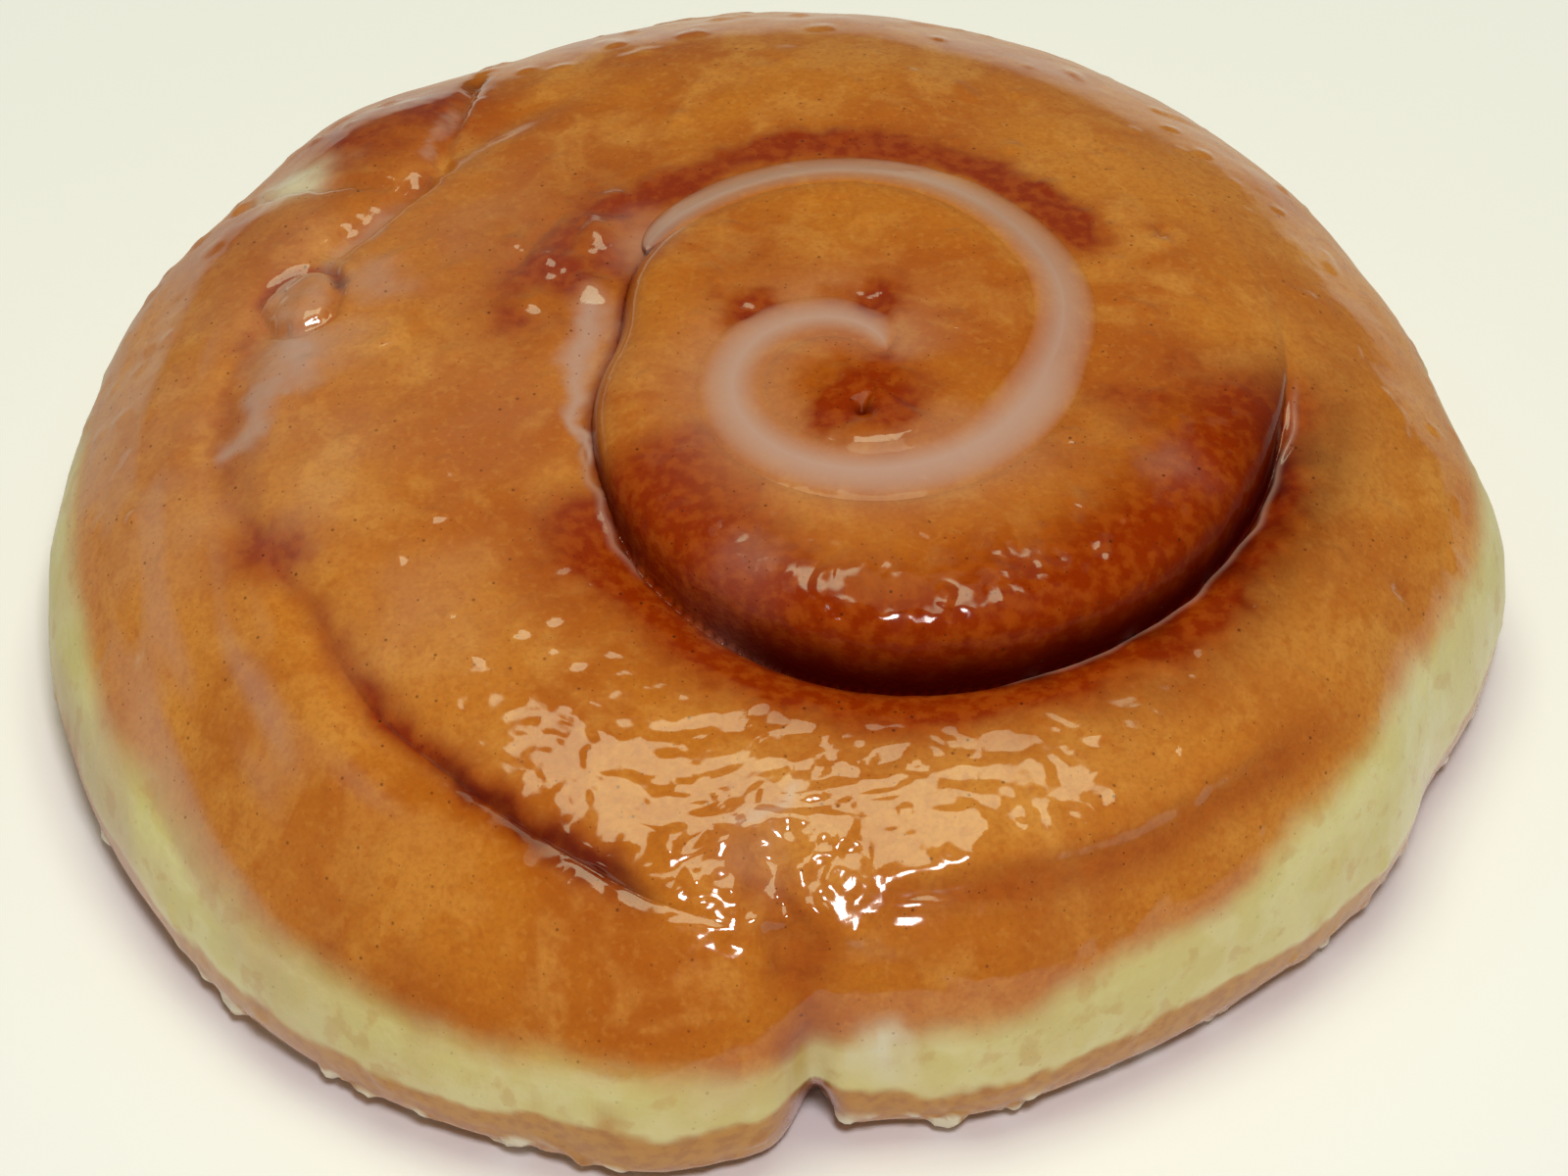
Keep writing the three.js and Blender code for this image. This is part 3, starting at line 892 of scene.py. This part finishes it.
    def by_name(self):
        """Every mask by name, from 0 to 1."""
        pale, foot = self.pale_and_foot()
        outside_blister = 1 - self.blister.skin
        masks = {
            "pale": pale,
            "foot": foot,
            "stain_and_shade": self.stain_and_shade(pale) * outside_blister,
            "deep_shade_and_stain": self.deep_shade_and_stain() * outside_blister,
            "milk": self.milk(),
            "flake": self.flake(),
            "dull": self.dull(),
            "light": self.light(),
        }
        return {key: np.clip(value, 0, 1) for key, value in masks.items()}


# ---------------------------------------------------------------- mesh building
def mesh_object(name, points, faces, masks):
    mesh = bpy.data.meshes.new(name)
    mesh.from_pydata((points * MM).tolist(), [], faces)
    mesh.polygons.foreach_set("use_smooth", [True] * len(mesh.polygons))
    for key, values in masks.items():
        layer = mesh.attributes.new(key, "FLOAT", "POINT")
        layer.data.foreach_set("value", np.asarray(values, np.float32).ravel())
    mesh.update()
    obj = bpy.data.objects.new(name, mesh)
    bpy.context.collection.objects.link(obj)
    return obj


def bake_map(obj, corners):
    """The piece's own UV map: one u and v for each face corner."""
    layer = obj.data.uv_layers.new(name="OFBake")
    layer.data.foreach_set("uv", np.asarray(corners, np.float32).ravel())


def grid(rows, columns):
    """Row and column of the four corners of each quad between neighbouring closed rings."""
    i, j = np.meshgrid(np.arange(rows - 1), np.arange(columns), indexing="ij")
    return np.stack([i, i + 1, i + 1, i], -1), np.stack([j, j, j + 1, j + 1], -1)


# ---------------------------------------------------------------- roll
def underside_coil(rings, plan, angle):
    """The coil line shows on the underside as a shallow groove. The dough between it rests flat."""
    groove = 0
    for k in range(1, TURNS):
        turned = angle + 360.0 * k
        groove = groove + line_here(turned) * bell(line_distance(plan, angle, k) / 1.9)
    groove = 0.9 * groove * ramp(plan / body(angle), 0.90, 0.84)
    rings[..., 2] = np.where(rings[..., 2] < 0.01, groove, rings[..., 2])


def polar_map(rings, rows, columns):
    """Corners for the bake map: the top and side as one disc, and the underside as a small one."""
    split = rows - FOOT_ROWS
    step = np.linalg.norm(np.diff(rings, axis=0), axis=-1).mean(1)
    reach = np.concatenate([[0.002 * step.sum()], np.cumsum(step)])
    top, under = reach / reach[split], (reach[-1] - reach) / (reach[-1] - reach[split])
    i, j = grid(rows, columns)
    a = j * 2 * math.pi / columns
    in_top = i.max(-1, keepdims=True) <= split
    radius = np.where(in_top, TOP_DISC[1] * top[i], UNDER_DISC[1] * under[i])
    middle = np.where(in_top, TOP_DISC[0], UNDER_DISC[0])
    return np.stack([middle + radius * np.cos(a), middle + radius * np.sin(a)], -1)


def fan_map(columns):
    """Corners for the bake map: the fans that close the middles of the two discs."""
    j = np.arange(columns)
    fans = []
    for middle, order in ((TOP_DISC[0], (j, j + 1)), (UNDER_DISC[0], (j + 1, j))):
        a = np.stack(order, -1) * 2 * math.pi / columns
        rim = middle + 0.001 * np.stack([np.cos(a), np.sin(a)], -1)
        hub = np.full((columns, 1, 2), middle)
        fans.append(np.concatenate([hub, rim], 1).reshape(-1, 2))
    return np.concatenate(fans)


def roll_faces(rows, columns):
    """Quads between the rings, and a fan to the middle of the top and one to that of the foot."""
    i, j = grid(rows, columns)
    quads = (i * columns + j % columns).reshape(-1, 4)
    here = np.arange(columns)
    after = (here + 1) % columns
    last = (rows - 1) * columns
    top_fan = np.stack([np.full(columns, rows * columns), here, after], -1)
    foot_fan = np.stack([np.full(columns, rows * columns + 1), last + after, last + here], -1)
    return quads.tolist() + top_fan.tolist() + foot_fan.tolist()


def build_roll():
    rings, plan, angle = dough_rings()
    rings = rings + ring_normals(rings) * relief(rings, plan, angle)[..., None]
    rings[..., 2] = np.maximum(rings[..., 2], 0.0)
    masks = DoughMasks(rings, plan, angle).by_name()
    underside_coil(rings, plan, angle)
    points = np.concatenate([rings.reshape(-1, 3), [rings[0].mean(0), rings[-1].mean(0)]])
    masks = {
        key: np.append(value.ravel(), [value[0].mean(), value[-1].mean()])
        for key, value in masks.items()
    }
    rows, columns = plan.shape
    obj = mesh_object("roll_dough", points, roll_faces(rows, columns), masks)
    corners = polar_map(rings, rows, columns).reshape(-1, 2)
    bake_map(obj, np.concatenate([corners, fan_map(columns)]))
    return obj


# ---------------------------------------------------------------- icing
def icing_rings():
    """Cross sections of the icing along the coil line, and how thick it is at each point."""
    turned = np.linspace(ICING_FROM, ICING_TO, ICING_STATIONS)[:, None]
    angle = turned % 360.0
    from_end = np.minimum(turned - ICING_FROM, ICING_TO - turned)
    half = ICING_HALF_WIDTH * quarter_round(from_end / ICING_TAPER)
    across = np.linspace(-1, 1, ICING_ACROSS)
    section = np.concatenate([across, across[::-1][1:-1]])
    upper = np.arange(len(section)) < ICING_ACROSS
    radius = line_radius(turned) + section * np.maximum(half, 0.05)
    inner, outer = crown(turned), crown(turned + 360)
    level = inner + (outer - inner) * ramp(radius - line_radius(turned), -4.0, 4.5)
    level = level - ICING_DROP - 0.3 * section**6 - 0.8 * (1 - half / ICING_HALF_WIDTH) ** 2
    dough, _ = coil_top(radius, angle)
    thick = np.maximum(level - dough, 0)
    z = np.where(upper, level, np.minimum(dough, level) - ICING_ROOT)
    z = WIDEST + (z - WIDEST) * shoulder(radius / body(angle))
    return place(radius, angle, z), radius, angle + 0 * radius, thick


def build_icing():
    rings, plan, angle, thick = icing_rings()
    rings[..., 2] += relief(rings, plan, angle) - THREAD_RISE * threads(plan, angle)
    rows, count = plan.shape
    i, j = grid(rows, count)
    quads = (i * count + j % count)[..., ::-1].reshape(-1, 4)
    faces = quads.tolist()
    faces.append(list(range(count)))
    faces.append(list(range((rows - 1) * count, rows * count))[::-1])
    masks = DoughMasks(rings, plan, angle).by_name()
    masks["milk"] = np.maximum(masks["milk"], 1 - np.exp(-thick / ICING_VEIL))
    # The painted shade and dark cinnamon are hidden where the icing is milky.
    masks["deep_shade_and_stain"] = masks["deep_shade_and_stain"] * (1 - masks["milk"])
    masks["dull"] = np.maximum(masks["dull"], 0.7)
    obj = mesh_object("icing_pool", rings.reshape(-1, 3), faces, masks)
    bake_map(obj, icing_map(i, j, rows, count))
    return obj


def icing_map(i, j, rows, count):
    """Corners for the bake map: the icing unrolled, with its two ends on the map's own edges."""
    lengthwise = 0.02 + 0.96 * i / (rows - 1)
    around = 0.02 + 0.96 * j / count
    corners = np.stack([lengthwise, around], -1)[..., ::-1, :].reshape(-1, 2)
    ends = [(0.005, 0.02 + 0.96 * k / count) for k in range(count)]
    ends += [(0.995, 0.02 + 0.96 * k / count) for k in reversed(range(count))]
    return np.concatenate([corners, ends])


# ---------------------------------------------------------------- materials
class Nodes:
    """Short calls for building one material's node tree."""

    def __init__(self, name):
        self.material = bpy.data.materials.new(name)
        self.material.use_nodes = True
        self.tree = self.material.node_tree
        self.tree.nodes.clear()

    def new(self, kind, **settings):
        node = self.tree.nodes.new(kind)
        for key, value in settings.items():
            setattr(node, key, value)
        return node

    def link(self, source, target):
        self.tree.links.new(source, target)

    def feed(self, socket, value):
        if hasattr(value, "is_output"):
            self.link(value, socket)
        else:
            socket.default_value = value

    def mask(self, name):
        return self.new("ShaderNodeAttribute", attribute_name=name).outputs["Fac"]

    def math(self, operation, a, b=0.0, clamp=False):
        node = self.new("ShaderNodeMath", operation=operation, use_clamp=clamp)
        self.feed(node.inputs[0], a)
        self.feed(node.inputs[1], b)
        return node.outputs[0]

    def mix(self, share, a, b):
        node = self.new("ShaderNodeMix", data_type="RGBA")
        self.feed(node.inputs[0], share)
        self.feed(node.inputs[6], a)
        self.feed(node.inputs[7], b)
        return node.outputs[2]

    def position(self):
        node = self.new("ShaderNodeTexCoord")
        return node.outputs["Object"]

    def noise(self, size, detail=3.0, distortion=0.0):
        node = self.new("ShaderNodeTexNoise")
        self.link(self.position(), node.inputs["Vector"])
        node.inputs["Scale"].default_value = 1.0 / (size * MM)
        node.inputs["Detail"].default_value = detail
        node.inputs["Distortion"].default_value = distortion
        return node.outputs["Fac"]

    def spread(self, value, low, high):
        """0 below low, 1 above high, smooth between."""
        node = self.new("ShaderNodeMapRange", interpolation_type="SMOOTHSTEP")
        self.feed(node.inputs["Value"], value)
        node.inputs["From Min"].default_value = low
        node.inputs["From Max"].default_value = high
        return node.outputs[0]

    def patches(self, base, colour, share, noise, low, high):
        """The colour laid over the base in patches, where the noise is high."""
        return self.mix(self.math("MULTIPLY", self.spread(noise, low, high), share), base, colour)


def rgb(red, green, blue):
    """Screen colour, 0 to 255, as the linear colour that a shader takes."""
    def linear(v):
        v /= 255.0
        return v / 12.92 if v <= 0.04045 else ((v + 0.055) / 1.055) ** 2.4

    return (linear(red), linear(green), linear(blue), 1.0)


GOLD = rgb(196, 113, 30)
GOLD_DEEP = rgb(180, 91, 18)
GOLD_DARK = rgb(158, 78, 20)
GOLD_LIGHT = rgb(220, 150, 70)
# The cinnamon colours STAIN and STAIN_LIGHT also paint the shade under the front right fold.
STAIN = rgb(140, 42, 2)
# Painted shade with dark cinnamon, for the depths of the groove, the seams and the pits.
DEEP_SHADE_AND_STAIN = rgb(76, 6, 0)
STAIN_LIGHT = rgb(168, 74, 16)
PALE = rgb(214, 197, 128)
PALE_LIGHT = rgb(226, 213, 162)
FOOT = rgb(190, 129, 44)
FOOT_DARK = rgb(164, 98, 34)
MILK = rgb(190, 148, 136)
FLAKE = rgb(226, 214, 190)
SPECK = rgb(84, 34, 12)


def dough_colour(n):
    """Golden crust with every other colour of the dough laid over it by the masks."""
    base = n.mix(n.spread(n.noise(14.0, 4.0), 0.38, 0.62), GOLD, GOLD_DEEP)
    base = n.patches(base, GOLD_LIGHT, 0.50, n.noise(7.0, 3.0, 0.5), 0.50, 0.72)
    base = n.patches(base, GOLD_LIGHT, 0.30, n.noise(9.0, 6.0, 0.8), 0.54, 0.64)
    # Painted light and sheen, with hazy glaze, where the light mask says.
    base = n.mix(n.math("MULTIPLY", n.mask("light"), 0.8), base, GOLD_LIGHT)
    base = n.patches(base, GOLD_DEEP, 0.40, n.noise(1.3, 5.0), 0.50, 0.70)
    base = n.patches(base, GOLD_DARK, 0.22, n.noise(0.45, 3.0), 0.42, 0.66)
    base = n.patches(base, GOLD_LIGHT, 0.20, n.noise(0.8, 4.0), 0.52, 0.70)
    pale = n.patches(PALE, PALE_LIGHT, 0.55, n.noise(5.0, 5.0), 0.40, 0.62)
    pale = n.patches(pale, FOOT, 0.30, n.noise(3.2, 6.0), 0.56, 0.66)
    mottle = n.math("MULTIPLY", n.spread(n.noise(1.3, 6.0), 0.40, 0.66), 0.65)
    base = n.mix(n.mask("pale"), base, pale)
    base = n.mix(n.mask("foot"), base, n.mix(mottle, FOOT, FOOT_DARK))
    # Cinnamon stains, and the painted shade under the front right fold.
    base = n.mix(n.mask("stain_and_shade"), base, n.mix(mottle, STAIN, STAIN_LIGHT))
    # Painted shade over dark cinnamon in the groove, the seams and the pits.
    base = n.mix(n.mask("deep_shade_and_stain"), base, DEEP_SHADE_AND_STAIN)
    base = n.mix(n.mask("milk"), base, MILK)
    return n.mix(n.mask("flake"), base, FLAKE)


def specks(n, size, share, seed):
    """Small ground-cinnamon grains, scattered unevenly: `share` of the cells hold one."""
    cells = n.new("ShaderNodeTexVoronoi", feature="F1")
    shifted = n.new("ShaderNodeVectorMath", operation="ADD")
    n.link(n.position(), shifted.inputs[0])
    shifted.inputs[1].default_value = (seed, seed, seed)
    n.link(shifted.outputs[0], cells.inputs["Vector"])
    cells.inputs["Scale"].default_value = 1.0 / (size * MM)
    dot = n.spread(cells.outputs["Distance"], 0.14, 0.05)
    pick = n.new("ShaderNodeSeparateColor")
    n.link(cells.outputs["Color"], pick.inputs[0])
    chosen = n.math("LESS_THAN", pick.outputs[0], share)
    return n.math("MULTIPLY", dot, chosen)


def finish_material(n, colour, roughness, coat_roughness, height, strength):
    """A matt, slightly translucent body under a clear coat, which the dull mask takes away."""
    shader = n.new("ShaderNodeBsdfPrincipled")
    output = n.new("ShaderNodeOutputMaterial")
    n.link(shader.outputs[0], output.inputs[0])
    n.feed(shader.inputs["Base Color"], colour)
    n.feed(shader.inputs["Roughness"], roughness)
    shader.inputs["Specular IOR Level"].default_value = 0.0
    n.link(n.math("SUBTRACT", 1.0, n.mask("dull")), shader.inputs["Coat Weight"])
    shader.inputs["Coat Roughness"].default_value = coat_roughness
    shader.inputs["Subsurface Weight"].default_value = 0.12
    shader.inputs["Subsurface Radius"].default_value = (3.0 * MM, 1.3 * MM, 0.6 * MM)
    shader.inputs["Subsurface Scale"].default_value = 1.0
    bump = n.new("ShaderNodeBump")
    bump.inputs["Distance"].default_value = MM
    bump.inputs["Strength"].default_value = strength
    n.link(height, bump.inputs["Height"])
    n.link(bump.outputs[0], shader.inputs["Normal"])
    return n.material


def dough_material():
    n = Nodes("glazed_dough")
    grains = n.math("MAXIMUM", specks(n, 1.5, 0.34, 0.0), specks(n, 0.85, 0.55, 0.7))
    showing = n.math("ADD", n.math("MULTIPLY", n.mask("stain_and_shade"), 0.35), 0.60)
    showing = n.math("SUBTRACT", showing, n.math("MULTIPLY", n.mask("pale"), 0.40), True)
    colour = n.mix(n.math("MULTIPLY", grains, showing), dough_colour(n), SPECK)
    rough = n.spread(n.noise(3.0), 0.2, 0.8)
    roughness = n.math("ADD", n.math("MULTIPLY", rough, 0.15), 0.38)
    coarse = n.math("ADD", n.math("MULTIPLY", n.mask("stain_and_shade"), 1.3), 0.4)
    height = n.math("ADD", n.noise(1.1, 3.0), n.math("MULTIPLY", n.noise(0.45, 3.0), coarse))
    return finish_material(n, colour, roughness, 0.10, height, 0.13)


def icing_material():
    n = Nodes("milky_icing")
    rough = n.spread(n.noise(3.0), 0.2, 0.8)
    roughness = n.math("ADD", n.math("MULTIPLY", rough, 0.1), 0.3)
    return finish_material(n, dough_colour(n), roughness, 0.06, n.noise(1.4, 2.0), 0.06)


# ---------------------------------------------------------------- stage
def build_floor():
    bpy.ops.mesh.primitive_plane_add(size=6.0)
    floor = bpy.context.object
    floor.name = "floor"
    n = Nodes("pale_floor")
    shader = n.new("ShaderNodeBsdfPrincipled")
    output = n.new("ShaderNodeOutputMaterial")
    n.link(shader.outputs[0], output.inputs[0])
    shader.inputs["Base Color"].default_value = FLOOR_COLOUR
    shader.inputs["Roughness"].default_value = 0.9
    floor.data.materials.append(n.material)


def area_light(name, direction, distance, size, power, colour):
    """A rectangular lamp aimed at the roll.

    direction is in degrees from upright, towards the front and towards the right. distance and
    size are in metres, and power in watts.
    """
    light = bpy.data.lights.new(name, "AREA")
    light.shape = "RECTANGLE"
    light.size, light.size_y = size
    light.energy = power
    light.color = colour
    obj = bpy.data.objects.new(name, light)
    bpy.context.collection.objects.link(obj)
    front, right = (math.radians(v) for v in direction)
    aim = Vector((math.tan(right), -math.tan(front), 1)).normalized()
    target = Vector((0, 0, 20 * MM))
    obj.location = target + aim * distance
    obj.rotation_euler = (target - obj.location).to_track_quat("-Z", "Y").to_euler()


def build_lights():
    area_light("overhead", (-1, 0), 0.9, (0.54, 0.52), 4.3, (0.90, 1.0, 0.66))
    area_light("sparkle", (33, 4), 1.0, (0.15, 0.15), 4.2, (1.0, 0.98, 0.95))
    world = bpy.data.worlds.new("studio")
    bpy.context.scene.world = world
    world.use_nodes = True
    background = world.node_tree.nodes["Background"]
    background.inputs["Color"].default_value = AMBIENT
    background.inputs["Strength"].default_value = AMBIENT_STRENGTH


def build_camera():
    """The camera in front of the roll, looking down on it, with nothing out of focus."""
    camera = bpy.data.cameras.new("camera")
    camera.lens = VIEW_LENS
    camera.sensor_width = 36.0
    camera.clip_start = 0.01
    camera.clip_end = 20.0
    obj = bpy.data.objects.new("camera", camera)
    bpy.context.collection.objects.link(obj)
    up = math.radians(VIEW_HEIGHT)
    target = Vector(VIEW_TARGET) * MM
    obj.location = target + Vector((0, -math.cos(up), math.sin(up))) * VIEW_DISTANCE * MM
    obj.rotation_euler = (target - obj.location).to_track_quat("-Z", "Y").to_euler()
    bpy.context.scene.camera = obj


# ---------------------------------------------------------------- assembly
roll = build_roll()
roll.data.materials.append(dough_material())
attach(roll, "root")
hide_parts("roll")

icing = build_icing()
icing.data.materials.append(icing_material())
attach(icing, "root")
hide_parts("icing")

build_floor()
build_lights()
build_camera()
bpy.context.scene.view_settings.view_transform = "Standard"
